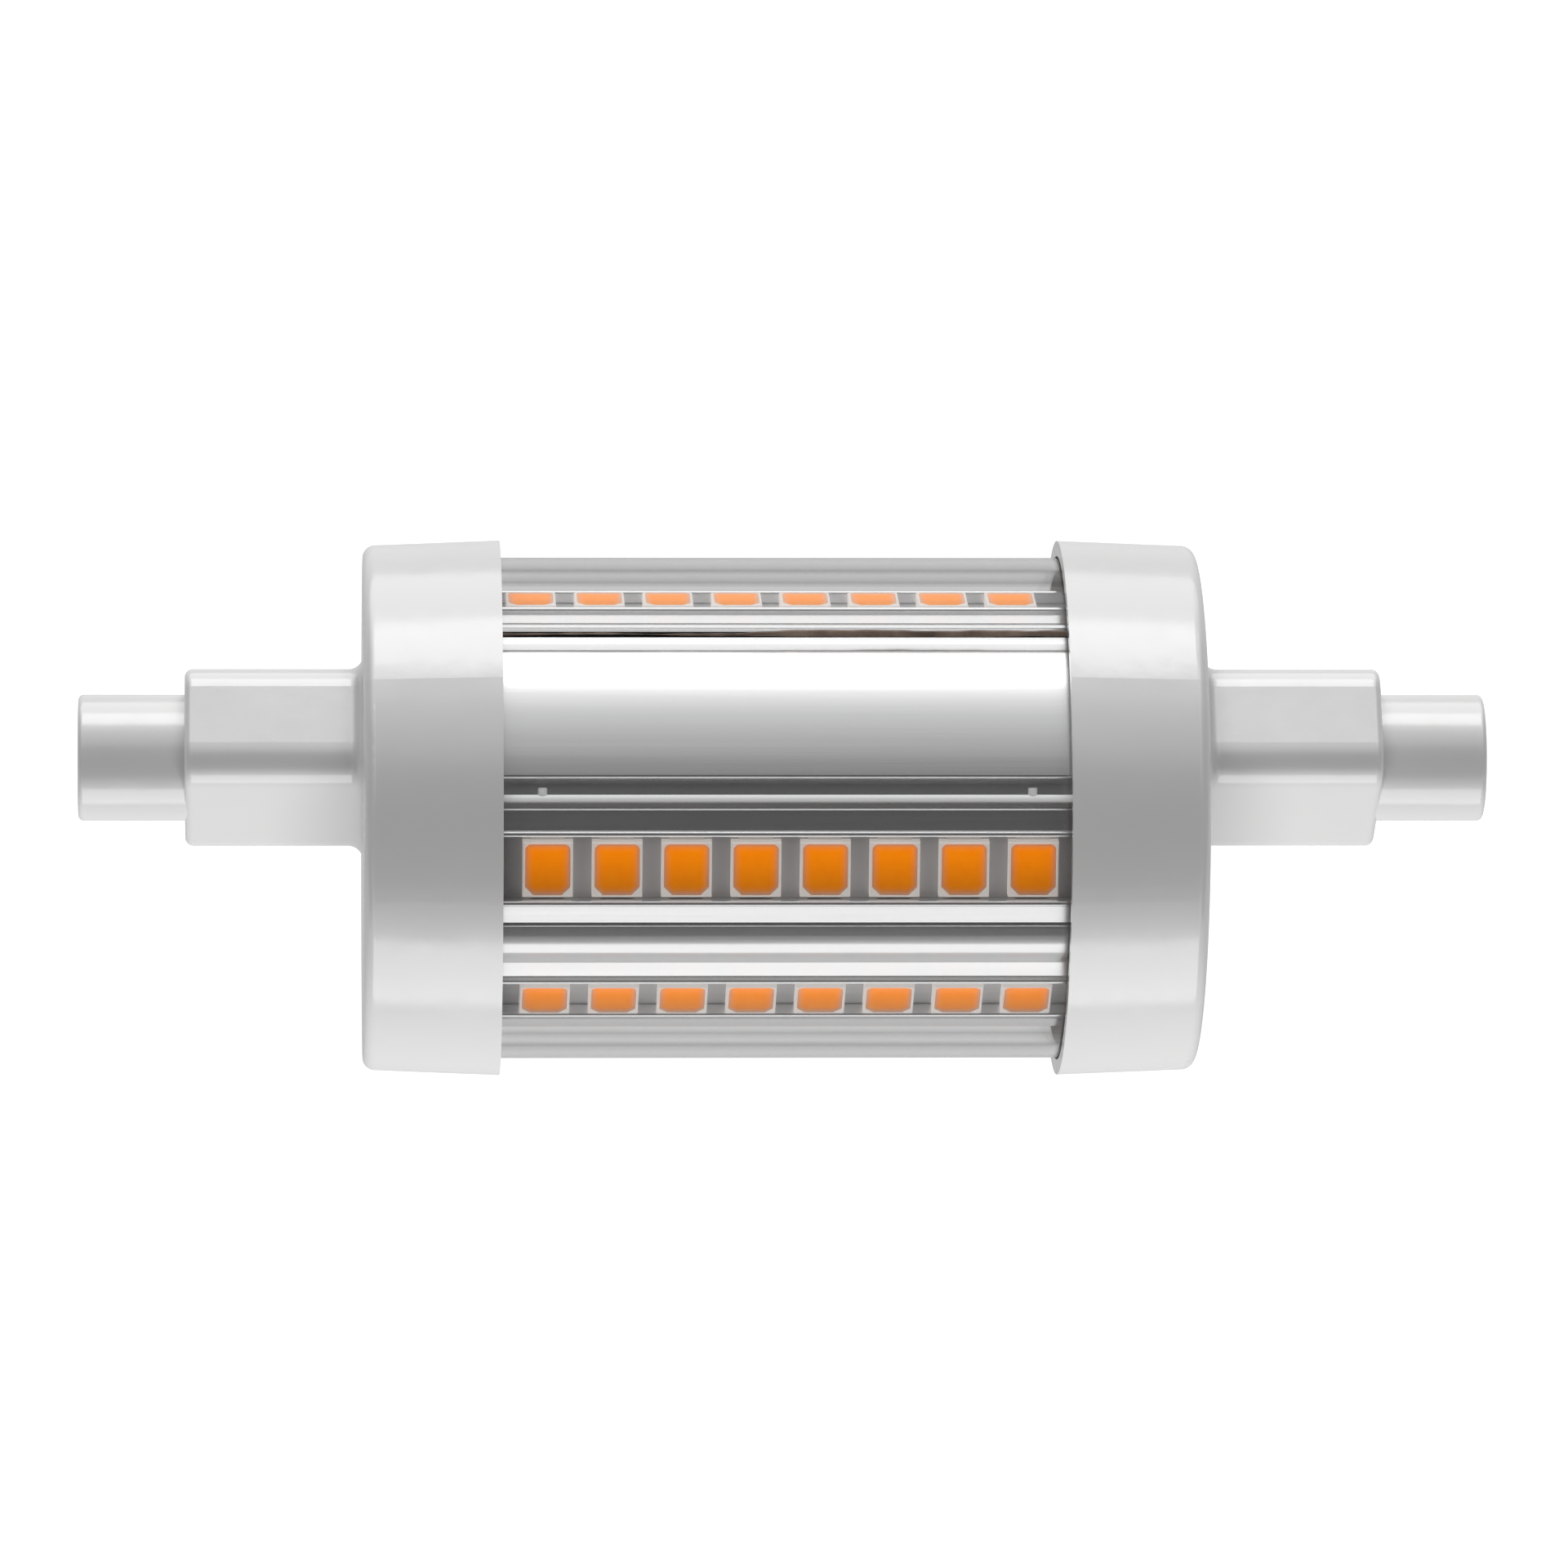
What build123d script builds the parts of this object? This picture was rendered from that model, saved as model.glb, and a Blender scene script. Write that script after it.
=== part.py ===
from build123d import *

import os
from math import asin, atan2, cos, degrees, radians, sin, sqrt, tan

# Double-ended linear LED lamp, all sizes in millimetres.
# X runs along the drum axis, +Z points to the middle of the bare spine of the heat sink,
# and the origin is halfway between the two caps on the drum axis.
# Angles round the lamp are measured from +Z towards +Y.

# Overall length over the two contact tips
overall_length = 78.0

# End caps
tip_length = 5.9
tip_diameter = 7.0
tip_edge_round = 0.3
neck_length = 9.85
neck_width = 7.24
neck_depth = 9.95
neck_corner_radius = 1.86
neck_end_round = 0.45
neck_root_round = 0.8
contact_offset = 5.78
drum_length = 7.65
drum_draft = 2.25
drum_edge_round = 0.7
cap_wall = 0.85
cap_floor = 1.4
cap_gap = 0.1
spigot_length = 2.0
spigot_wall = 1.0
spigot_gap = 0.1

# Contacts and the stepped bore that holds them
recess_radius = 2.1
recess_depth = 1.55
contact_head_radius = 1.65
contact_head_length = 0.8
contact_shank_radius = 1.0
contact_shank_length = 5.0
contact_gap = 0.05
wire_bore_radius = 0.9

# Heat sink section: an octagon with rounded corners, one side of it raised as the bare spine
positions_around = 8
facet_distance = 11.46
facet_corner_radius = 2.0
crease_offset = 3.28
crease_width = 0.2
crease_depth = 0.25
flank_slope = 18.0
lip_height = 0.65
lip_gap = 0.24
bead_radius = 0.17
bead_rise = 0.3
fin_width = 0.45
spine_rise = 0.76
spine_half_angle = 21.6
spine_edge_round = 0.2
groove_depth = 1.45
sink_web = 1.05
sink_end_gap = 0.1

# LED boards, slid by small amounts in their slots as in the lamp itself
board_depth = 0.16
board_thickness = 0.8
board_grip = 0.35
board_slot_gap = 0.05
board_end_gap = 0.3
board_slides = (-0.54, 0.1, -0.2, 0.0, 0.15, 0.18, 0.24)

# LEDs
led_count = 8
led_pitch = 3.82
led_length = 2.77
led_width = 3.1
led_height = 0.7
led_end_rim = 0.24
led_side_rim = 0.1
led_window_depth = 0.35
led_window_chamfer = 0.48
led_window_round = 0.36
phosphor_drop = 0.04

# Clear cover
cover_gap = 0.3
cover_wall = 0.7
cover_opening = 41.0
cover_turn = -5.2
cover_end_room = 2.2
nub_spacing = 26.9
nub_diameter = 0.5
nub_height = 0.4

# Insulating sleeve and driver
sleeve_gap = 0.1
sleeve_wall = 0.4
sleeve_end_gap = 0.2
driver_drop = 2.0
driver_thickness = 1.0
driver_side_gap = 0.05
driver_end_inset = 2.2
pad_inset = 1.5
seat_gap = 0.02
component_gap = 1.0
component_inset = 5.45

# Driver components
capacitor_diameter = 6.3
capacitor_length = 11.0
crimp_inset = 2.1
crimp_width = 0.8
crimp_depth = 0.25
choke_diameter = 6.6
choke_height = 6.0
choke_flange = 0.9
choke_waist = 0.7
bridge_size = (4.7, 3.9, 2.3)
bridge_side = -3.4
chip_size = (4.9, 3.9, 1.5)
chip_side = 3.4
leg_size = (0.45, 1.0, 0.2)
leg_pitch = 1.27
resistor_diameter = 2.4
resistor_length = 6.2
resistor_lead_diameter = 0.6
resistor_lead_span = 9.0
resistor_side = -5.2

# Wires
lead_diameter = 1.2
lead_bend_radius = 1.5
lead_bend_inset = 2.4
lead_drop_start = 3.4
link_diameter = 0.5
link_bend_radius = 0.5
link_side = 1.2
link_corner_gap = 0.05
link_inset = 0.35

# Places along the lamp, measured from the middle
tip_x = overall_length / 2
neck_x = tip_x - tip_length
drum_x = neck_x - neck_length
rim_x = drum_x - drum_length
floor_x = drum_x - cap_floor
sink_half = floor_x - sink_end_gap
board_half = floor_x - board_end_gap - max(abs(slide) for slide in board_slides)
link_x = board_half - max(abs(slide) for slide in board_slides) - link_inset
cover_half = floor_x - cover_end_room
sleeve_half = floor_x - spigot_length - sleeve_end_gap
driver_half = sleeve_half - driver_end_inset

# Places of the components, one after another from the driver board's right end
bridge_x = driver_half - component_inset
choke_x = bridge_x - bridge_size[0] / 2 - component_gap - choke_diameter / 2
capacitor_x = choke_x - choke_diameter / 2 - component_gap - capacitor_length / 2

# Radii, from the octagon's corners outwards and from its flats inwards
row_pitch = 360.0 / positions_around
row_count = positions_around - 1
corner_distance = (facet_distance - facet_corner_radius) / cos(radians(row_pitch / 2))
corner_reach = corner_distance + facet_corner_radius
spine_radius = corner_reach + spine_rise
groove_radius = corner_reach - groove_depth
cover_inner_radius = spine_radius + cover_gap
cover_outer_radius = cover_inner_radius + cover_wall
cap_bore_radius = cover_outer_radius + cap_gap
drum_rim_radius = cap_bore_radius + cap_wall
drum_end_radius = drum_rim_radius - drum_length * tan(radians(drum_draft))
board_face = facet_distance - board_depth
led_face = board_face + led_height
slot_floor = board_face - board_thickness - board_slot_gap
slot_ceiling = board_face + board_slot_gap
bead_top = slot_ceiling + lip_height
lip_half = led_width / 2 + lip_gap
board_half_width = lip_half + board_grip
slot_half = board_half_width + board_slot_gap
sink_bore_radius = slot_floor - sink_web
spigot_radius = sink_bore_radius - spigot_gap
sleeve_radius = sink_bore_radius - sleeve_gap
sleeve_bore_radius = sleeve_radius - sleeve_wall
driver_face = -driver_drop
fin_half = crease_offset + crease_width / 2 + fin_width
fin_edge = row_pitch - degrees(atan2(fin_half, facet_distance))


def row_angle(row):
    """Angle of an LED row, counted from 1 beside the spine."""
    return row * row_pitch


def polar(radius, angle):
    """Point of the cross-section at a radius and an angle from +Z towards +Y."""
    return Vector(radius * sin(radians(angle)), radius * cos(radians(angle)))


def turned(point, angle):
    """Point of a facet, drawn under +Z, turned to its row."""
    return Vector(point.X, point.Y).rotate(Axis.Z, -angle)


def mirrored(point):
    return Vector(-point.X, point.Y)


def outline_face(start, moves):
    """Face inside a closed outline of lines (one point) and arcs (middle and end)."""
    edges = []
    here = start
    for move in moves:
        if len(move) == 1:
            edges.append(Line(here, move[0]))
        else:
            edges.append(ThreePointArc(here, move[0], move[1]))
        here = move[-1]
    return make_face(edges)


def along_x(face, x_from, x_to):
    """Solid of a cross-section between two places along the lamp."""
    section = Plane.YZ.offset(x_from) * face
    return extrude(section, x_to - x_from, dir=(1, 0, 0))


def rod(radius, x_from, x_to, z=0.0):
    """Round bar along X."""
    place = Plane(origin=(x_from, 0, z), x_dir=(0, 1, 0), z_dir=(1, 0, 0))
    return extrude(place * Circle(radius), x_to - x_from)


# Heat sink


def slot_half_moves():
    """Right half of a slot and its lip: from the middle of the slot floor to the bead's side."""
    bead_middle = lip_half + bead_radius
    bead_side = bead_middle + bead_radius
    bead_base = bead_top - bead_radius
    return [
        (Vector(slot_half, slot_floor),),
        (Vector(slot_half, slot_ceiling),),
        (Vector(lip_half, slot_ceiling),),
        (Vector(lip_half, bead_base),),
        (Vector(bead_middle, bead_top), Vector(bead_side, bead_base)),
        (Vector(bead_side, bead_top - bead_rise),),
    ]


def flank_moves():
    """Sloping flank outside the bead and the crease where it meets the flat."""
    bead_side = lip_half + 2 * bead_radius
    crease_near = crease_offset - crease_width / 2
    crease_far = crease_offset + crease_width / 2
    fall = (crease_near - bead_side) * tan(radians(flank_slope))
    return [
        (Vector(crease_near, bead_top - bead_rise - fall),),
        (Vector(crease_offset, facet_distance - crease_depth),),
        (Vector(crease_far, facet_distance),),
    ]


def corner_moves():
    """Flat beyond the crease and half of the octagon's rounded corner."""
    half_turn = row_pitch / 2
    centre = polar(corner_distance, half_turn)
    middle = centre + polar(facet_corner_radius, half_turn / 2)
    return [
        (Vector(centre.X, facet_distance),),
        (middle, polar(corner_reach, half_turn)),
    ]


def facet_half(beside_spine):
    """Right half of one facet: from the middle of the slot floor to a corner or a fin's end."""
    fin_moves = [(Vector(fin_half, facet_distance),)]
    return slot_half_moves() + flank_moves() + (fin_moves if beside_spine else corner_moves())


def reversed_moves(start, moves):
    """The same outline walked backwards, as a start point and moves."""
    points = [start] + [move[-1] for move in moves]
    back = []
    for index in range(len(moves) - 1, -1, -1):
        middle = moves[index][:-1]
        back.append(middle + (points[index],))
    return points[-1], back


def facet_moves(row):
    """Whole facet outline of a row, from its start towards the next row."""
    right = facet_half(row == row_count)
    left = [tuple(mirrored(point) for point in move) for move in facet_half(row == 1)]
    left_start, left_back = reversed_moves(Vector(0, slot_floor), left)
    whole = left_back[:-1] + right
    moves = [tuple(turned(point, row_angle(row)) for point in move) for move in whole]
    return turned(left_start, row_angle(row)), moves


def spine_moves(last_point):
    """Groove, bare spine and groove, from the last fin round to the first."""
    inset = degrees(spine_edge_round / spine_radius)
    low = spine_radius - spine_edge_round
    corner = spine_radius - spine_edge_round * (1 - cos(radians(45)))
    corner_inset = inset * (1 - cos(radians(45)))
    left = -spine_half_angle
    right = spine_half_angle
    return [
        (polar(groove_radius, -fin_edge),),
        (polar(groove_radius, (left - fin_edge) / 2), polar(groove_radius, left)),
        (polar(low, left),),
        (polar(corner, left + corner_inset), polar(spine_radius, left + inset)),
        (polar(spine_radius, 0), polar(spine_radius, right - inset)),
        (polar(corner, right - corner_inset), polar(low, right)),
        (polar(groove_radius, right),),
        (polar(groove_radius, (right + fin_edge) / 2), polar(groove_radius, fin_edge)),
        (last_point,),
    ]


def heat_sink_section():
    """Ring of facets closed by the bare spine, round a bore."""
    start, moves = facet_moves(1)
    for row in range(2, row_count + 1):
        moves.extend(facet_moves(row)[1])
    moves.extend(spine_moves(start))
    return outline_face(start, moves) - Circle(sink_bore_radius)


def heat_sink():
    return along_x(heat_sink_section(), -sink_half, sink_half)


# End caps


def drum():
    """Drafted cup with a rounded edge at its closed end."""
    profile = Polyline(
        (rim_x, 0, 0),
        (rim_x, 0, drum_rim_radius),
        (drum_x, 0, drum_end_radius),
        (drum_x, 0, 0),
        close=True,
    )
    solid = revolve(make_face(profile), Axis.X)
    return fillet(solid.edges().sort_by(Axis.X)[-1], drum_edge_round)


def neck():
    """Rounded rectangle with soft edges at its free end, set off the drum's axis."""
    place = Plane(origin=(floor_x, 0, contact_offset), x_dir=(0, 1, 0), z_dir=(1, 0, 0))
    section = place * RectangleRounded(neck_width, neck_depth, neck_corner_radius)
    solid = extrude(section, neck_x - floor_x)
    return fillet(solid.faces().sort_by(Axis.X)[-1].edges(), neck_end_round)


def tip():
    solid = rod(tip_diameter / 2, floor_x, tip_x, contact_offset)
    return fillet(solid.edges().sort_by(Axis.X)[-1], tip_edge_round)


def stepped_bore():
    """Contact recess, seats for the contact's head and shank, and the wire's way in."""
    head_floor = tip_x - recess_depth - contact_head_length - contact_gap
    shank_floor = head_floor - contact_shank_length
    recess = rod(recess_radius, tip_x - recess_depth, tip_x, contact_offset)
    head_seat = rod(contact_head_radius + contact_gap, head_floor, tip_x, contact_offset)
    shank_seat = rod(contact_shank_radius + contact_gap, shank_floor, tip_x, contact_offset)
    wire_way = rod(wire_bore_radius, floor_x - cap_floor, tip_x, contact_offset)
    return recess + head_seat + shank_seat + wire_way


def spigot():
    """Ring on the cap's floor that centres the heat sink's bore."""
    start = floor_x - spigot_length
    ring = rod(spigot_radius, start, floor_x) - rod(spigot_radius - spigot_wall, start, floor_x)
    return ring


def right_end_cap():
    cup = drum()
    stem = neck()
    body = cup + stem
    root = new_edges(cup, stem, combined=body)
    body = fillet(root, neck_root_round)
    body = body + tip()
    body = body - rod(cap_bore_radius, rim_x, floor_x)
    body = body + spigot()
    return body - stepped_bore()


def right_contact():
    """Headed stud, its face at the bottom of the recess."""
    head_x = tip_x - recess_depth
    shank_x = head_x - contact_head_length
    head = rod(contact_head_radius, shank_x, head_x, contact_offset)
    shank = rod(contact_shank_radius, shank_x - contact_shank_length, head_x, contact_offset)
    return head + shank


# Clear cover


def cover_section():
    """C-shaped wall with full round edges, open at the spine."""
    wall_middle = (cover_inner_radius + cover_outer_radius) / 2
    edge_turn = degrees(cover_wall / 2 / wall_middle)
    first = cover_turn + cover_opening / 2 + edge_turn
    last = cover_turn - cover_opening / 2 + 360 - edge_turn
    middle = (first + last) / 2
    start = polar(cover_outer_radius, first)
    return outline_face(
        start,
        [
            (polar(cover_outer_radius, middle), polar(cover_outer_radius, last)),
            (polar(wall_middle, last + edge_turn), polar(cover_inner_radius, last)),
            (polar(cover_inner_radius, middle), polar(cover_inner_radius, first)),
            (polar(wall_middle, first - edge_turn), start),
        ],
    )


def cover_nub(x):
    """Small peg on the cover's lower edge."""
    wall_middle = (cover_inner_radius + cover_outer_radius) / 2
    edge_turn = degrees(cover_wall / 2 / wall_middle)
    root_angle = cover_turn - cover_opening / 2 - edge_turn
    root = polar(wall_middle, root_angle)
    along = polar(1, root_angle + 90)
    place = Plane(origin=(x, root.X, root.Y), x_dir=(1, 0, 0), z_dir=(0, along.X, along.Y))
    reach = cover_wall / 2 + nub_height
    return extrude(place * Circle(nub_diameter / 2), reach)


def clear_cover():
    shell = along_x(cover_section(), -cover_half, cover_half)
    return shell + cover_nub(-nub_spacing / 2) + cover_nub(nub_spacing / 2)


# LED rows


def on_row(solid, row):
    """Turn a piece drawn under +Z to its row and slide it along its slot."""
    return Rot(X=-row_angle(row)) * Pos(board_slides[row - 1], 0, 0) * solid


def led_places():
    first = -led_pitch * (led_count - 1) / 2
    return [first + led_pitch * index for index in range(led_count)]


def led_board():
    middle = board_face - board_thickness / 2
    return Pos(0, 0, middle) * Box(2 * board_half, 2 * board_half_width, board_thickness)


def window_face(z):
    """Window outline, chamfered at its lower corners and rounded at its upper ones."""
    length = led_length - 2 * led_end_rim
    width = led_width - 2 * led_side_rim
    outline = Rectangle(length, width)
    outline = chamfer(outline.vertices().sort_by(Axis.Y)[:2], led_window_chamfer)
    outline = fillet(outline.vertices().sort_by(Axis.Y)[-2:], led_window_round)
    return Pos(0, 0, z) * outline


def led_body():
    """White package with a window sunk into its face."""
    block = Pos(0, 0, board_face + led_height / 2) * Box(led_length, led_width, led_height)
    return block - extrude(window_face(led_face - led_window_depth), led_window_depth)


def led_phosphor():
    """Phosphor that fills the window to just under the package's face."""
    return extrude(window_face(led_face - led_window_depth), led_window_depth - phosphor_drop)


def led_group(solid, row):
    return Compound(children=[on_row(Pos(x, 0, 0) * solid, row) for x in led_places()])


# Sleeve, driver and its components


def insulating_sleeve():
    outer = rod(sleeve_radius, -sleeve_half, sleeve_half)
    return outer - rod(sleeve_bore_radius, -sleeve_half, sleeve_half)


def driver_board():
    """Board whose lower edges rest against the sleeve."""
    lowest = driver_face - driver_thickness
    half_width = sqrt(sleeve_bore_radius**2 - lowest**2) - driver_side_gap
    middle = driver_face - driver_thickness / 2
    return Pos(0, 0, middle) * Box(2 * driver_half, 2 * half_width, driver_thickness)


def storage_capacitor():
    """Can that lies along the board, with a crimped waist near its seal."""
    radius = capacitor_diameter / 2
    seal_x = capacitor_x - capacitor_length / 2
    crimp_start = seal_x + crimp_inset
    crimp_end = crimp_start + crimp_width
    can = rod(radius, seal_x, seal_x + capacitor_length)
    crimp = rod(radius, crimp_start, crimp_end) - rod(radius - crimp_depth, crimp_start, crimp_end)
    return Pos(0, 0, driver_face + radius + seat_gap) * (can - crimp)


def choke():
    """Drum core with its winding between two flanges."""
    radius = choke_diameter / 2
    waist = radius - choke_waist
    flange = Cylinder(radius, choke_flange, align=(Align.CENTER, Align.CENTER, Align.MIN))
    winding = Cylinder(waist, choke_height, align=(Align.CENTER, Align.CENTER, Align.MIN))
    top_flange = Pos(0, 0, choke_height - choke_flange) * flange
    return Pos(choke_x, 0, driver_face) * (flange + winding + top_flange)


def legged_package(size, side, legs_per_side):
    """Moulded package with a row of legs along each long side."""
    length, width, height = size
    leg_length, leg_reach, leg_thickness = leg_size
    body_base = leg_thickness / 2
    solid = Pos(0, 0, body_base + height / 2) * Box(length, width, height)
    first = -leg_pitch * (legs_per_side - 1) / 2
    for index in range(legs_per_side):
        leg_x = first + leg_pitch * index
        for leg_y in (-width / 2, width / 2):
            leg = Box(leg_length, 2 * leg_reach, leg_thickness)
            solid = solid + Pos(leg_x, leg_y, leg_thickness / 2) * leg
    return Pos(bridge_x, side, driver_face) * solid


def fusible_resistor():
    """Axial resistor with its leads bent down to the board."""
    radius = resistor_diameter / 2
    lead_radius = resistor_lead_diameter / 2
    half_span = resistor_lead_span / 2
    height = radius + seat_gap
    body = rod(radius, -resistor_length / 2, resistor_length / 2, height)
    route = FilletPolyline(
        (-half_span, 0, 0),
        (-half_span, 0, height),
        (half_span, 0, height),
        (half_span, 0, 0),
        radius=lead_radius * 1.5,
    )
    lead = sweep(Plane(origin=route @ 0, z_dir=route % 0) * Circle(lead_radius), path=route)
    return Pos(capacitor_x, resistor_side, driver_face) * (body + lead)


# Wires


def wire(points, bend_radius, diameter):
    """Round wire along straight runs joined by tangent bends."""
    route = FilletPolyline(*points, radius=bend_radius)
    section = Plane(origin=route @ 0, z_dir=route % 0) * Circle(diameter / 2)
    return sweep(section, path=route)


def right_lead_wire():
    """From the back of the contact, down to the driver board's end."""
    contact_back = tip_x - recess_depth - contact_head_length - contact_shank_length
    pad_x = driver_half - pad_inset
    points = [
        (contact_back, 0, contact_offset),
        (floor_x - lead_bend_inset, 0, contact_offset),
        (pad_x, 0, driver_face + lead_drop_start),
        (pad_x, 0, driver_face),
    ]
    return wire(points, lead_bend_radius, lead_diameter)


def board_link(row, x):
    """Short wire from one LED board, over the octagon's corner, to the next board."""
    first = row_angle(row)
    second = row_angle(row + 1)
    half_turn = row_pitch / 2
    reach = corner_reach + link_diameter / 2 + link_corner_gap
    corner_radius = reach / cos(radians(half_turn - degrees(link_side / reach)))
    corner_turn = degrees(asin(link_side / corner_radius))
    foot_radius = sqrt(board_face**2 + link_side**2)
    foot_turn = degrees(asin(link_side / foot_radius))
    section_points = [
        polar(foot_radius, first + foot_turn),
        polar(corner_radius, first + corner_turn),
        polar(corner_radius, second - corner_turn),
        polar(foot_radius, second - foot_turn),
    ]
    points = [(x, point.X, point.Y) for point in section_points]
    return wire(points, link_bend_radius, link_diameter)


def board_links(first_row, x):
    rows = range(first_row, row_count, 2)
    return Compound(children=[board_link(row, x) for row in rows])


def lamp_nodes():
    """Every piece of the lamp under its node name."""
    cap = right_end_cap()
    contact = right_contact()
    lead = right_lead_wire()
    nodes = {
        "right_end_cap": cap,
        "left_end_cap": mirror(cap, Plane.YZ),
        "right_contact": contact,
        "left_contact": mirror(contact, Plane.YZ),
        "heat_sink": heat_sink(),
        "clear_cover": clear_cover(),
        "insulating_sleeve": insulating_sleeve(),
        "driver_board": driver_board(),
        "storage_capacitor": storage_capacitor(),
        "choke": choke(),
        "bridge_rectifier": legged_package(bridge_size, bridge_side, 2),
        "driver_chip": legged_package(chip_size, chip_side, 4),
        "fusible_resistor": fusible_resistor(),
        "right_lead_wire": lead,
        "left_lead_wire": mirror(lead, Plane.YZ),
        "left_board_links": board_links(1, -link_x),
        "right_board_links": board_links(2, link_x),
    }
    board = led_board()
    body = led_body()
    phosphor = led_phosphor()
    for row in range(1, row_count + 1):
        nodes[f"led_board_{row}"] = on_row(board, row)
        nodes[f"led_bodies_{row}"] = led_group(body, row)
        nodes[f"led_phosphor_{row}"] = led_group(phosphor, row)
    return nodes


os.makedirs("parts", exist_ok=True)
for name, shape in lamp_nodes().items():
    export_step(shape, f"parts/{name}.step")
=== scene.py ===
from math import cos, inf, pi, radians, sin

import bmesh
import bpy
from mathutils import Matrix, Vector


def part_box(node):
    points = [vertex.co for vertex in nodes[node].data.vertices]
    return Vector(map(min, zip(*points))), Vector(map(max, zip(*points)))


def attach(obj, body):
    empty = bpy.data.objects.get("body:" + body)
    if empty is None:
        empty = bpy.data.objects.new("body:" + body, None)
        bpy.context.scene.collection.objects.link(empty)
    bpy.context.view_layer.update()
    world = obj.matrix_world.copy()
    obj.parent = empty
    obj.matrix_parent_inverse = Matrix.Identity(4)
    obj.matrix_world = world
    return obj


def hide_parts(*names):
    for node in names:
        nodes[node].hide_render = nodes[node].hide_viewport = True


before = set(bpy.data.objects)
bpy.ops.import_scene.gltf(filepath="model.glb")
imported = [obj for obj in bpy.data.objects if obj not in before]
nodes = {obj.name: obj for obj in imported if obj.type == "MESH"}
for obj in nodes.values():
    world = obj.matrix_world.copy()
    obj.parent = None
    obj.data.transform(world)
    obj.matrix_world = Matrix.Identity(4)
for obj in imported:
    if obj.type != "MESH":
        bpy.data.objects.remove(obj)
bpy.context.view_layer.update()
scene = bpy.context.scene

ROWS = range(1, 8)
MM = 0.001

# Camera: its elevation over the front horizon, distance and place along the lamp, the point that it faces,
# its lens, and the range of distances that it sees
ELEVATION = 61.3
DISTANCE = 0.676
CAMERA_X = -0.0269
AIM_X = 0.00034
AIM_UP = 0.00133
LENS = 277.5
SENSOR = 36
NEAREST_SEEN = 0.01
FURTHEST_SEEN = 20

# Floor: its size, its height from the lamp's axis, the gap between its two layers, and the distances
# over which its glow changes
FLOOR_SIZE = 8
FLOOR_Z = -0.28
FLOOR_LAYER = 0.001
FLOOR_CHANGE = (0.3, 0.9)

# Elevation of the darkest part of the surround, a little in front of the camera
DARK_ELEVATION = 49.3

# Brightness of the surround by the cosine of the angle from its darkest part
SURROUND_STOPS = (
    (0.0, 1.15),
    (0.208, 1.15),
    (0.309, 0.92),
    (0.407, 0.76),
    (0.545, 0.59),
    (0.656, 0.5),
    (0.766, 0.4),
    (0.848, 0.22),
    (0.883, 0.12),
    (1.0, 0.05),
)

# Share of the surround's light that is left towards the lamp's two ends, and where along X it falls to that
END_LIGHT = 0.2
END_FALL = (0.35, 0.75)

# Large lights: angle up from the front horizon, distance, width and height
BACK_LIGHT = (137, 0.8, 0.5, 0.36)
FRONT_LIGHT = (-15, 0.4, 0.34, 0.245)

# Part of a noise factor's range that most of its values fill
NOISE_RANGE = (0.3, 0.7)

# Share by which the roughness of a plain finish changes each way
ROUGHNESS_CHANGE = 0.15

# The cover's lower cut edge, in degrees round the lamp: its middle, how far each way it is matt,
# and how far from its middle the clear wall starts
LOWER_EDGE = -25.8
LOWER_EDGE_MATT = 1.2
LOWER_EDGE_REACH = 2.0

# Share of light that each surface of the cover passes, from face on at 0 to edge on at 1; its dips near the
# edge are painted shade, dark bands for the shaded gaps behind the cover's limb
LIMB_TINT_AND_SHADE_STOPS = (
    (0.0, 0.985),
    (0.42, 0.97),
    (0.5, 0.8),
    (0.56, 0.97),
    (0.63, 0.9),
    (0.68, 0.35),
    (0.72, 0.6),
    (0.8, 0.9),
)

# Dried glue on the round upper edge of the cover: the edge's turn round the lamp in degrees, its middle
# and its radius, and the glue's half length, its thickness and its lean on the edge in degrees
SEAM_TURN = 16.77
EDGE_MIDDLE = 13.65 * MM
EDGE_RADIUS = 0.35 * MM
SEAM_HALF = 20.2 * MM
SEAM_PROUD = 0.015 * MM
SEAM_LEAN = 17.0
SEAM_STEPS = 160

# Section of the glue, from one rim to the other: share of its spread, and share of its thickness
SEAM_ACROSS = ((-1.0, -1.0), (-0.7, 1.0), (0.0, 1.4), (0.7, 1.0), (1.0, -1.0))

# Spread of the glue each way in degrees: at the left, what the right adds, and the least,
# and as shares of its length, where it starts to widen and over how much
SEAM_NARROW = 7.0
SEAM_EXTRA = 29.0
SEAM_LEAST = 4.0
SEAM_WIDENS = 0.3
SEAM_WIDENING = 0.25

# Unevenness of the glue's spread and lean: degrees, radians for each metre of length, and phase
SEAM_WAVES = ((4.5, 310, 0.0), (3.0, 1190, 1.3), (2.0, 3100, 0.4))
SEAM_DRIFT = ((5.0, 520, 0.7),)

# LED packages: length runs along the lamp and width across it, and foot and face are heights over its axis
ROW_TURN = 45.0
LED_COUNT = 8
LED_PITCH = 3.82 * MM
LED_LENGTH = 2.77 * MM
LED_WIDTH = 3.1 * MM
LED_FOOT = 11.3 * MM
LED_FACE = 12.0 * MM
LED_EDGE_ROUND = 0.05 * MM
WINDOW_LENGTH = 2.53 * MM
WINDOW_WIDTH = 2.92 * MM
WINDOW_CHAMFER = 0.48 * MM
WINDOW_ROUND = 0.36 * MM
WINDOW_ROUND_STEPS = 6
WINDOW_DEPTH = 0.1 * MM
WINDOW_SLOPE = 0.06 * MM
LEAD_LENGTH = 1.9 * MM
LEAD_REACH = 0.19 * MM
LEAD_HEIGHT = 0.16 * MM
LEAD_ROUND = 0.04 * MM
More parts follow.
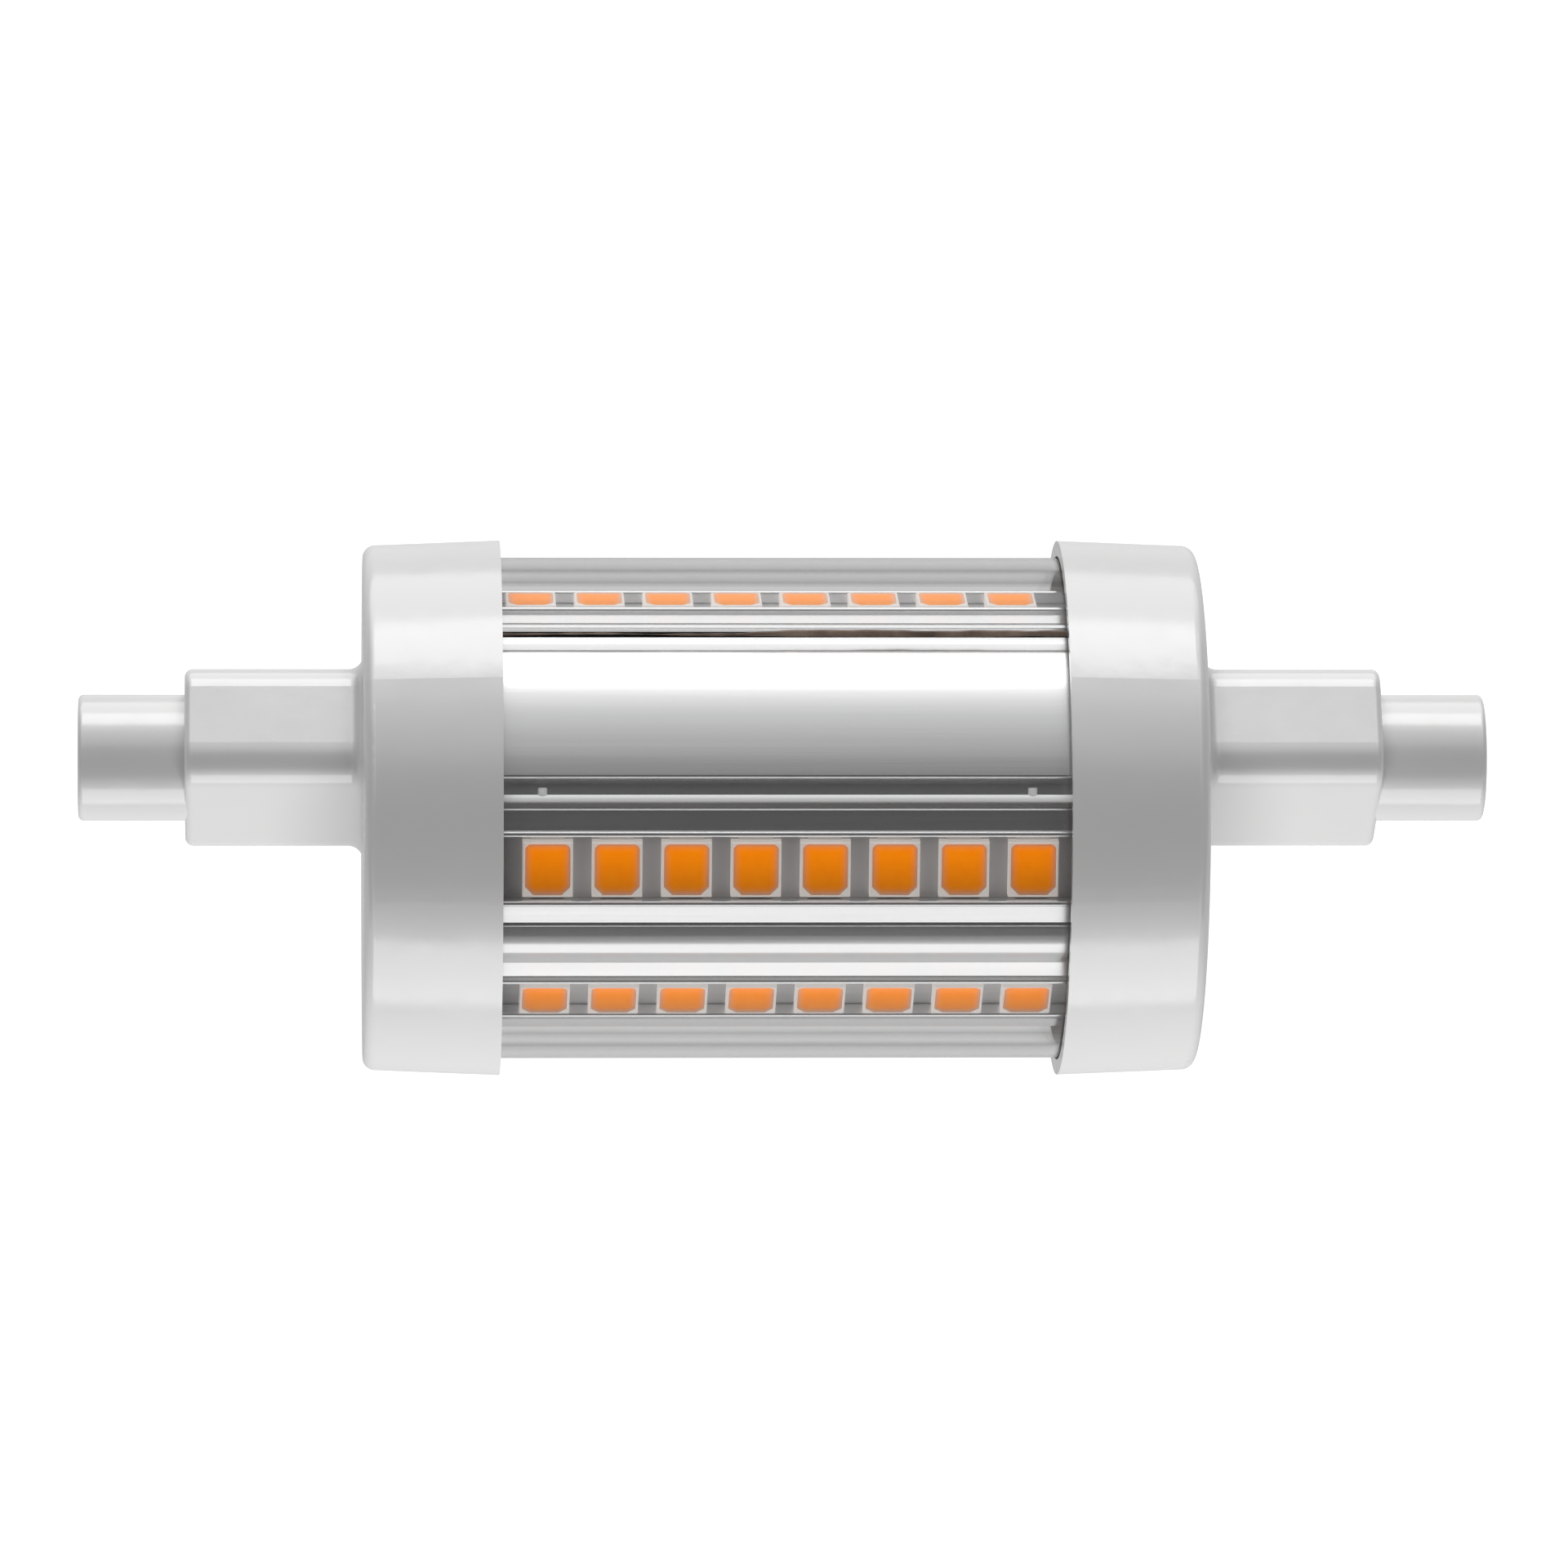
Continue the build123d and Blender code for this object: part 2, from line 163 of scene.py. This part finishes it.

# Phosphor fill, from the window's rim inwards: way in and drop in millimetres, and how pale it is, which
# also weakens its painted glow
FILL_GAP = 0.01 * MM
MENISCUS = (
    (0.0, 0.0, 1.0),
    (0.07, 0.03, 0.85),
    (0.16, 0.055, 0.45),
    (0.28, 0.072, 0.12),
    (0.5, 0.08, 0.0),
)

# Plain finishes: nodes, material slot, colour, roughness and metallic share
PLAIN_FINISHES = (
    (("left_contact", "right_contact"), "contact_metal", (0.8, 0.78, 0.74), 0.25, 1.0),
    (("insulating_sleeve",), "sleeve_film", (0.85, 0.84, 0.8), 0.4, 0.0),
    (("driver_board",), "driver_laminate", (0.03, 0.12, 0.05), 0.35, 0.0),
    (("storage_capacitor",), "capacitor_can", (0.02, 0.02, 0.02), 0.35, 0.0),
    (("choke",), "choke_ferrite", (0.03, 0.03, 0.03), 0.5, 0.0),
    (("bridge_rectifier", "driver_chip"), "component_black", (0.015, 0.015, 0.015), 0.45, 0.0),
    (("fusible_resistor",), "resistor_coat", (0.55, 0.45, 0.28), 0.4, 0.0),
    (("left_lead_wire", "right_lead_wire"), "lead_insulation", (0.8, 0.8, 0.78), 0.4, 0.0),
    (("left_board_links", "right_board_links"), "link_copper", (0.75, 0.4, 0.25), 0.3, 1.0),
)


# Steps that the materials share


def new_material(name):
    material = bpy.data.materials.new(name)
    material.use_nodes = True
    tree = material.node_tree
    shader = tree.nodes["Principled BSDF"]
    return material, tree, shader


def coordinates(tree, kind="Object"):
    return tree.nodes.new("ShaderNodeTexCoord").outputs[kind]


def noise(tree, scale, stretch=(1, 1, 1), detail=3.0, roughness=0.55):
    """Noise in object space, stretched along chosen axes; its factor output."""
    mapping = tree.nodes.new("ShaderNodeMapping")
    mapping.inputs["Scale"].default_value = stretch
    texture = tree.nodes.new("ShaderNodeTexNoise")
    texture.inputs["Scale"].default_value = scale
    texture.inputs["Detail"].default_value = detail
    texture.inputs["Roughness"].default_value = roughness
    tree.links.new(coordinates(tree), mapping.inputs["Vector"])
    tree.links.new(mapping.outputs["Vector"], texture.inputs["Vector"])
    return texture.outputs["Fac"]


def calculate(tree, operation, *values):
    """A Math node on outputs or plain numbers; its output."""
    node = tree.nodes.new("ShaderNodeMath")
    node.operation = operation
    for socket, value in zip(node.inputs, values):
        if isinstance(value, bpy.types.NodeSocket):
            tree.links.new(value, socket)
        else:
            socket.default_value = value
    return node.outputs[0]


def map_range(tree, value, source, target, smooth=False):
    """A value carried from one range to another and held at its ends."""
    node = tree.nodes.new("ShaderNodeMapRange")
    if smooth:
        node.interpolation_type = "SMOOTHSTEP"
    for name, number in zip(("From Min", "From Max", "To Min", "To Max"), (*source, *target)):
        node.inputs[name].default_value = number
    tree.links.new(value, node.inputs["Value"])
    return node.outputs["Result"]


def colours(tree, value, stops):
    """A value turned into a colour by a ramp of places and colours."""
    ramp = tree.nodes.new("ShaderNodeValToRGB")
    elements = ramp.color_ramp.elements
    while len(elements) < len(stops):
        elements.new(0.5)
    for element, (place, colour) in zip(elements, stops):
        element.position = place
        element.color = (*colour, 1)
    tree.links.new(value, ramp.inputs["Fac"])
    return ramp.outputs["Color"]


def tint(tree, value, dark, light):
    """A noise factor turned into a colour between two."""
    return colours(tree, value, list(zip(NOISE_RANGE, (dark, light))))


def greys(stops):
    """Stops of a ramp with a grey for each brightness."""
    return [(place, (grey, grey, grey)) for place, grey in stops]


def bump(tree, height, strength, distance, under=None):
    """Normal of a bump, laid over another bump's normal if there is one."""
    node = tree.nodes.new("ShaderNodeBump")
    node.inputs["Strength"].default_value = strength
    node.inputs["Distance"].default_value = distance
    tree.links.new(height, node.inputs["Height"])
    if under is not None:
        tree.links.new(under, node.inputs["Normal"])
    return node.outputs["Normal"]


# Materials


def cap_plastic():
    """Glossy moulded plastic with a faint fine grain over broad shallow waves."""
    material, tree, shader = new_material("cap_plastic")
    fine = noise(tree, scale=900, detail=4)
    broad = noise(tree, scale=60)
    waves = noise(tree, scale=150, detail=1)
    swell = bump(tree, waves, strength=0.5, distance=0.1 * MM)
    peel = bump(tree, fine, strength=0.09, distance=0.1 * MM, under=swell)
    colour = tint(tree, broad, dark=(0.72, 0.718, 0.718), light=(0.755, 0.752, 0.752))
    roughness = map_range(tree, fine, NOISE_RANGE, (0.13, 0.23))
    tree.links.new(colour, shader.inputs["Base Color"])
    tree.links.new(roughness, shader.inputs["Roughness"])
    tree.links.new(peel, shader.inputs["Normal"])
    shader.inputs["IOR"].default_value = 2.0
    shader.inputs["Specular IOR Level"].default_value = 1.0
    return material


def drawn_aluminium():
    """Extruded aluminium with fine drawing lines along the lamp."""
    material, tree, shader = new_material("heat_sink_aluminium")
    lines = noise(tree, scale=2500, stretch=(0.012, 1, 1), detail=5, roughness=0.6)
    broad = noise(tree, scale=320, stretch=(0.02, 1, 1), detail=2)
    colour = tint(tree, broad, dark=(0.84, 0.84, 0.845), light=(0.92, 0.92, 0.925))
    roughness = map_range(tree, lines, NOISE_RANGE, (0.16, 0.23))
    tree.links.new(colour, shader.inputs["Base Color"])
    tree.links.new(roughness, shader.inputs["Roughness"])
    tree.links.new(bump(tree, lines, strength=0.12, distance=0.03 * MM), shader.inputs["Normal"])
    shader.inputs["Metallic"].default_value = 0.88
    return material


def turn_about_x(tree):
    """Angle round the lamp in radians, from +Z towards +Y, in object space."""
    parts = tree.nodes.new("ShaderNodeSeparateXYZ")
    tree.links.new(coordinates(tree), parts.inputs[0])
    return calculate(tree, "ARCTAN2", parts.outputs["Y"], parts.outputs["Z"])


def on_lower_edge(tree):
    """1 on the cover's lower cut edge, falling to 0 beside it."""
    offset = calculate(tree, "SUBTRACT", turn_about_x(tree), radians(LOWER_EDGE))
    away = calculate(tree, "ABSOLUTE", offset)
    reach = (radians(LOWER_EDGE_MATT), radians(LOWER_EDGE_REACH))
    return map_range(tree, away, reach, (1.0, 0.0), smooth=True)


def clear_plastic():
    """Polished clear plastic, whitish and matt along its lower cut edge, with painted shade in dark bands
    near its limb.
    """
    material, tree, shader = new_material("cover_clear")
    frost = on_lower_edge(tree)
    limb = tree.nodes.new("ShaderNodeLayerWeight")
    limb.inputs["Blend"].default_value = 0.5
    colour = tree.nodes.new("ShaderNodeMix")
    colour.data_type = "RGBA"
    colour.inputs["B"].default_value = (0.93, 0.935, 0.94, 1)
    tree.links.new(frost, colour.inputs["Factor"])
    # Painted shade: dark bands in the tint where the cover is seen nearly edge on
    tree.links.new(colours(tree, limb.outputs["Facing"], greys(LIMB_TINT_AND_SHADE_STOPS)), colour.inputs["A"])
    clear = map_range(tree, frost, (0.0, 1.0), (1.0, 0.25))
    roughness = map_range(tree, frost, (0.0, 1.0), (0.0, 0.45))
    tree.links.new(colour.outputs["Result"], shader.inputs["Base Color"])
    tree.links.new(clear, shader.inputs["Transmission Weight"])
    tree.links.new(roughness, shader.inputs["Roughness"])
    shader.inputs["IOR"].default_value = 1.35
    return material


def plain(name, colour, roughness, metallic=0.0, change=0.06, scale=400.0):
    """A surface with slight changes of colour and gloss, and a fine grain."""
    material, tree, shader = new_material(name)
    grain = noise(tree, scale, detail=4)
    dark = tuple(part * (1 - change) for part in colour)
    light = tuple(min(1, part * (1 + change)) for part in colour)
    smoother = roughness * (1 - ROUGHNESS_CHANGE)
    rougher = roughness * (1 + ROUGHNESS_CHANGE)
    tree.links.new(tint(tree, grain, dark, light), shader.inputs["Base Color"])
    tree.links.new(map_range(tree, grain, NOISE_RANGE, (smoother, rougher)), shader.inputs["Roughness"])
    tree.links.new(bump(tree, grain, strength=0.05, distance=0.1 * MM), shader.inputs["Normal"])
    shader.inputs["Metallic"].default_value = metallic
    return material


def attribute(tree, name):
    """A value that a mesh holds at each point."""
    node = tree.nodes.new("ShaderNodeAttribute")
    node.attribute_name = name
    return node.outputs["Fac"]


def phosphor():
    """Orange phosphor gel, paler where it climbs up the window's rim, with a painted glow that is stronger
    towards the window's rounded side and weaker on the rim.
    """
    material, tree, shader = new_material("led_phosphor")
    grain = noise(tree, scale=1500, detail=4)
    rim = attribute(tree, "rim")
    colour = tree.nodes.new("ShaderNodeMix")
    colour.data_type = "RGBA"
    colour.inputs["B"].default_value = (0.98, 0.78, 0.62, 1)
    gel = tint(tree, grain, dark=(0.9, 0.31, 0.0), light=(0.97, 0.37, 0.002))
    tree.links.new(rim, colour.inputs["Factor"])
    tree.links.new(gel, colour.inputs["A"])
    # Painted glow of the unlit gel, stronger towards the window's rounded side and weaker on the rim
    glow = map_range(tree, attribute(tree, "end"), (-1.0, 1.0), (0.27, 0.79))
    fade = map_range(tree, rim, (0.0, 1.0), (1.0, 0.35))
    tree.links.new(colour.outputs["Result"], shader.inputs["Base Color"])
    tree.links.new(calculate(tree, "MULTIPLY", glow, fade), shader.inputs["Emission Strength"])
    tree.links.new(bump(tree, grain, strength=0.05, distance=0.05 * MM), shader.inputs["Normal"])
    shader.inputs["Emission Color"].default_value = (1.0, 0.22, 0.0, 1)
    shader.inputs["Roughness"].default_value = 0.42
    shader.inputs["Specular IOR Level"].default_value = 0.06
    return material


def led_white():
    """Moulded white body with a faint painted glow that brightens it."""
    material = plain("led_white", (0.93, 0.9, 0.87), roughness=0.35)
    shader = material.node_tree.nodes["Principled BSDF"]
    # Painted glow: a faint emission that brightens the unlit body
    shader.inputs["Emission Color"].default_value = (1.0, 0.92, 0.86, 1)
    shader.inputs["Emission Strength"].default_value = 0.3
    return material


def led_board_metal():
    return plain("led_board_metal", (0.6, 0.605, 0.62), roughness=0.4, change=0.12, scale=120.0)


def dress(names, material):
    for name in names:
        piece = nodes[name]
        piece.data.materials.clear()
        piece.data.materials.append(material)


def dress_nodes():
    """Give its finish to each node that no piece replaces, the hidden ones too."""
    dress(("left_end_cap", "right_end_cap"), cap_plastic())
    dress(("heat_sink",), drawn_aluminium())
    dress(("clear_cover",), clear_plastic())
    dress([f"led_board_{row}" for row in ROWS], led_board_metal())
    for names, slot, colour, roughness, metallic in PLAIN_FINISHES:
        dress(names, plain(slot, colour, roughness, metallic))


# Steps that the meshes share


def ring(mesh, points, z):
    return [mesh.verts.new((x, y, z)) for x, y in points]


def bridge(mesh, first, second):
    """Faces between two closed rings of as many points."""
    count = len(first)
    for index in range(count):
        after = (index + 1) % count
        mesh.faces.new((first[index], first[after], second[after], second[index]))


def add_piece(name, mesh, material):
    """A visible piece made from a mesh, fixed to the lamp."""
    data = bpy.data.meshes.new(name)
    mesh.to_mesh(data)
    mesh.free()
    data.materials.append(material)
    piece = bpy.data.objects.new(name, data)
    scene.collection.objects.link(piece)
    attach(piece, "root")
    return piece


# LED packages: moulded body with a rounded window, tin leads, and phosphor with a soft rim


def window_outline():
    """Points round the window, counter-clockwise: chamfered below, rounded above."""
    x = WINDOW_LENGTH / 2
    y = WINDOW_WIDTH / 2
    points = [
        (-x, -y + WINDOW_CHAMFER),
        (-x + WINDOW_CHAMFER, -y),
        (x - WINDOW_CHAMFER, -y),
        (x, -y + WINDOW_CHAMFER),
    ]
    for side, first in ((1, 0), (-1, 90)):
        middle_x = side * (x - WINDOW_ROUND)
        middle_y = y - WINDOW_ROUND
        for step in range(WINDOW_ROUND_STEPS + 1):
            angle = radians(first + 90 * step / WINDOW_ROUND_STEPS)
            points.append((middle_x + WINDOW_ROUND * cos(angle), middle_y + WINDOW_ROUND * sin(angle)))
    return points


def inset(points, distance):
    """Outline moved inwards by a distance along the mean normal of each point."""
    moved = []
    for index, point in enumerate(points):
        before = Vector(points[index - 1])
        after = Vector(points[(index + 1) % len(points)])
        along = (after - before).normalized()
        inwards = Vector((-along.y, along.x))
        moved.append(tuple(Vector(point) + inwards * distance))
    return moved


def body_outline(reach):
    """Outline of the body less a reach, with a point for each of the window's and one at each corner."""
    x = LED_LENGTH / 2 - reach
    y = LED_WIDTH / 2 - reach
    outline = []
    for px, py in window_outline():
        scale = min(x / abs(px) if px else inf, y / abs(py) if py else inf)
        outline.append((px * scale, py * scale))
    for corner in ((-x, -y), (x, -y), (x, y), (-x, y)):
        gaps = [(Vector(point) - Vector(corner)).length for point in outline]
        outline[gaps.index(min(gaps))] = corner
    return outline


def led_body_mesh():
    """One package at the top of the lamp, from where it is turned to its row."""
    mesh = bmesh.new()
    window = window_outline()
    foot = ring(mesh, body_outline(0), LED_FOOT)
    shoulder = ring(mesh, body_outline(0), LED_FACE - LED_EDGE_ROUND)
    face = ring(mesh, body_outline(LED_EDGE_ROUND), LED_FACE)
    lip = ring(mesh, window, LED_FACE)
    well = ring(mesh, inset(window, WINDOW_SLOPE), LED_FACE - WINDOW_DEPTH)
    for first, second in ((foot, shoulder), (shoulder, face), (face, lip), (lip, well)):
        bridge(mesh, first, second)
    mesh.faces.new(list(reversed(foot)))
    mesh.faces.new(well)
    return mesh


def led_phosphor_mesh():
    """Dished fill of one window, its points in rings from the rim inwards."""
    mesh = bmesh.new()
    rings = []
    for reach, drop, _ in MENISCUS:
        outline = inset(window_outline(), reach * MM + FILL_GAP)
        rings.append(ring(mesh, outline, LED_FACE - drop * MM))
    for first, second in zip(rings, rings[1:]):
        bridge(mesh, first, second)
    mesh.faces.new(rings[-1])
    return mesh


def led_lead_mesh():
    """Tin leads of one package, from under its two edges out towards the slot's lips."""
    mesh = bmesh.new()
    size = (LEAD_LENGTH, 2 * LEAD_REACH, LEAD_HEIGHT)
    for side in (-1, 1):
        made = bmesh.ops.create_cube(mesh, size=1.0)
        middle = Vector((0, side * LED_WIDTH / 2, LED_FOOT + LEAD_HEIGHT / 2))
        bmesh.ops.scale(mesh, vec=size, verts=made["verts"])
        bmesh.ops.translate(mesh, vec=middle, verts=made["verts"])
    bmesh.ops.bevel(mesh, geom=mesh.edges[:], offset=LEAD_ROUND, segments=2, profile=0.5, affect="EDGES")
    return mesh


def row_piece(name, make, row, material):
    """Eight copies of a package mesh, turned to their row and slid with its board."""
    low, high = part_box(f"led_bodies_{row}")
    slide = (low[0] + high[0]) / 2
    turn = Matrix.Rotation(-radians(ROW_TURN * row), 4, "X")
    part = bpy.data.meshes.new("part")
    single = make()
    single.to_mesh(part)
    single.free()
    whole = bmesh.new()
    for index in range(LED_COUNT):
        x = slide + LED_PITCH * (index - (LED_COUNT - 1) / 2)
        copy = part.copy()
        copy.transform(turn @ Matrix.Translation((x, 0, 0)))
        whole.from_mesh(copy)
        bpy.data.meshes.remove(copy)
    bpy.data.meshes.remove(part)
    return add_piece(f"{name}_{row}", whole, material)


def mark_fill(fill):
    """Give each point of the fills two values: 1 at the rim to 0 inside, and -1 to 1 from end to end, along
    which the painted glow grows.
    """
    rims = []
    ends = []
    for reach, _, value in MENISCUS:
        for _, y in inset(window_outline(), reach * MM):
            rims.append(value)
            ends.append(2 * y / WINDOW_WIDTH)
    for name, values in (("rim", rims), ("end", ends)):
        layer = fill.data.attributes.new(name, "FLOAT", "POINT")
        layer.data.foreach_set("value", values * LED_COUNT)


def led_rows():
    white = led_white()
    tin = plain("led_tin", (0.9, 0.9, 0.88), roughness=0.5, metallic=0.8)
    gel = phosphor()
    for row in ROWS:
        body = row_piece("led_shell", led_body_mesh, row, white)
        fill = row_piece("led_fill", led_phosphor_mesh, row, gel)
        row_piece("led_leads", led_lead_mesh, row, tin)
        mark_fill(fill)
        fill.data.shade_smooth()
        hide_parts(f"led_bodies_{row}")
        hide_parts(f"led_phosphor_{row}")


# Glue seam along the cover's upper cut edge


def unevenness(x, waves):
    """Sum of waves along the lamp, in degrees."""
    return sum(size * sin(rate * x + phase) for size, rate, phase in waves)


def seam_spread(x):
    """The glue's spread each way round the edge in degrees, narrow at the left and wide at the right."""
    along = (x + SEAM_HALF) / (2 * SEAM_HALF)
    widened = min(1.0, max(0.0, (along - SEAM_WIDENS) / SEAM_WIDENING))
    return max(SEAM_LEAST, SEAM_NARROW + SEAM_EXTRA * widened + unevenness(x, SEAM_WAVES))


def seam_section(mesh, x):
    """Points across the glue, a low mound on the edge, at one place along the lamp."""
    turn = Matrix.Rotation(-radians(SEAM_TURN), 4, "X")
    lean = SEAM_LEAN + unevenness(x, SEAM_DRIFT)
    points = []
    for share, height in SEAM_ACROSS:
        angle = radians(lean + share * seam_spread(x))
        reach = EDGE_RADIUS + height * SEAM_PROUD
        place = Vector((x, -reach * cos(angle), EDGE_MIDDLE + reach * sin(angle)))
        points.append(mesh.verts.new(turn @ place))
    return points


def cover_seam():
    """Thin uneven strip of brown glue on the cover's edge."""
    mesh = bmesh.new()
    sections = []
    for step in range(SEAM_STEPS + 1):
        sections.append(seam_section(mesh, -SEAM_HALF + 2 * SEAM_HALF * step / SEAM_STEPS))
    for first, second in zip(sections, sections[1:]):
        bridge(mesh, first, second)
    mesh.faces.new(list(reversed(sections[0])))
    mesh.faces.new(sections[-1])
    bmesh.ops.recalc_face_normals(mesh, faces=mesh.faces[:])
    glue = plain("seam_glue", (0.33, 0.24, 0.19), roughness=0.35, change=0.4, scale=700.0)
    add_piece("cover_seam", mesh, glue)


# Floor, light and camera


def direction(elevation):
    """Unit vector in the plane across the lamp, at an angle up from the front horizon."""
    angle = radians(elevation)
    return Vector((0, -cos(angle), sin(angle)))


def floor_plane(name, height, near, far, paint):
    """Pale floor that gives off light of its own, with one strength near the lamp and one further out."""
    bpy.ops.mesh.primitive_plane_add(size=FLOOR_SIZE, location=(0, 0, height))
    plane = bpy.context.object
    plane.name = name
    material, tree, shader = new_material(name)
    distance = tree.nodes.new("ShaderNodeVectorMath")
    distance.operation = "LENGTH"
    tree.links.new(coordinates(tree), distance.inputs[0])
    glow = map_range(tree, distance.outputs["Value"], FLOOR_CHANGE, (near, far), smooth=True)
    tree.links.new(glow, shader.inputs["Emission Strength"])
    shader.inputs["Emission Color"].default_value = (1, 1, 1, 1)
    shader.inputs["Base Color"].default_value = (paint, paint, paint, 1)
    shader.inputs["Roughness"].default_value = 0.8
    shader.inputs["Specular IOR Level"].default_value = 0.0
    plane.data.materials.append(material)
    return plane


def floors():
    """A white floor seen by the camera alone, and a dimmer one under it that lights the lamp."""
    seen = floor_plane("floor_seen", FLOOR_Z, near=1.0, far=1.0, paint=0.2)
    seen.visible_diffuse = False
    seen.visible_glossy = False
    seen.visible_transmission = False
    seen.visible_shadow = False
    felt = floor_plane("floor_felt", FLOOR_Z - FLOOR_LAYER, near=0.5, far=0.4, paint=0.15)
    felt.visible_camera = False


def softbox(name, angle, distance, width, height, radiance, mirrored=True):
    """Rectangular light that faces the lamp; one that isn't mirrored shows in no reflection."""
    data = bpy.data.lights.new(name, "AREA")
    data.shape = "RECTANGLE"
    data.size = width
    data.size_y = height
    data.energy = radiance * pi * width * height
    light = bpy.data.objects.new(name, data)
    scene.collection.objects.link(light)
    light.location = direction(angle) * distance
    light.rotation_mode = "QUATERNION"
    light.rotation_quaternion = (-direction(angle)).to_track_quat("-Z", "Y")
    light.visible_camera = False
    light.visible_glossy = mirrored
    light.visible_transmission = mirrored


def softboxes():
    """Behind and in front of the lamp, a light that reflections show and a stronger one that they don't."""
    softbox("softbox_back", *BACK_LIGHT, radiance=0.85)
    softbox("fill_back", *BACK_LIGHT, radiance=5.15, mirrored=False)
    softbox("softbox_front", *FRONT_LIGHT, radiance=0.72)
    softbox("fill_front", *FRONT_LIGHT, radiance=4.5, mirrored=False)


def studio_world():
    """Soft surround, darkest in front of the camera and towards the lamp's two ends."""
    world = bpy.data.worlds.new("studio")
    scene.world = world
    world.use_nodes = True
    tree = world.node_tree
    background = tree.nodes["Background"]
    ray = coordinates(tree, "Generated")
    cosine = tree.nodes.new("ShaderNodeVectorMath")
    cosine.operation = "DOT_PRODUCT"
    cosine.inputs[1].default_value = direction(DARK_ELEVATION)
    parts = tree.nodes.new("ShaderNodeSeparateXYZ")
    tree.links.new(ray, cosine.inputs[0])
    tree.links.new(ray, parts.inputs[0])
    side = calculate(tree, "ABSOLUTE", parts.outputs["X"])
    fall = map_range(tree, side, END_FALL, (1.0, END_LIGHT), smooth=True)
    shade = colours(tree, cosine.outputs["Value"], greys(SURROUND_STOPS))
    tree.links.new(shade, background.inputs["Color"])
    tree.links.new(fall, background.inputs["Strength"])


def camera():
    """Camera above the front of the lamp and left of its middle, turned towards its middle."""
    data = bpy.data.cameras.new("camera")
    data.lens = LENS
    data.sensor_width = SENSOR
    data.clip_start = NEAREST_SEEN
    data.clip_end = FURTHEST_SEEN
    eye = bpy.data.objects.new("camera", data)
    scene.collection.objects.link(eye)
    angle = radians(ELEVATION)
    up = Vector((0, sin(angle), cos(angle)))
    place = Vector((CAMERA_X, 0, 0)) + direction(ELEVATION) * DISTANCE
    target = Vector((AIM_X, 0, 0)) + up * AIM_UP
    back = (place - target).normalized()
    right = (Vector((1, 0, 0)) - back * back.x).normalized()
    top = back.cross(right)
    turn = Matrix((right, top, back)).transposed().to_4x4()
    eye.matrix_world = Matrix.Translation(place) @ turn
    scene.camera = eye


dress_nodes()
led_rows()
cover_seam()
floors()
softboxes()
studio_world()
camera()
scene.view_settings.view_transform = "Standard"
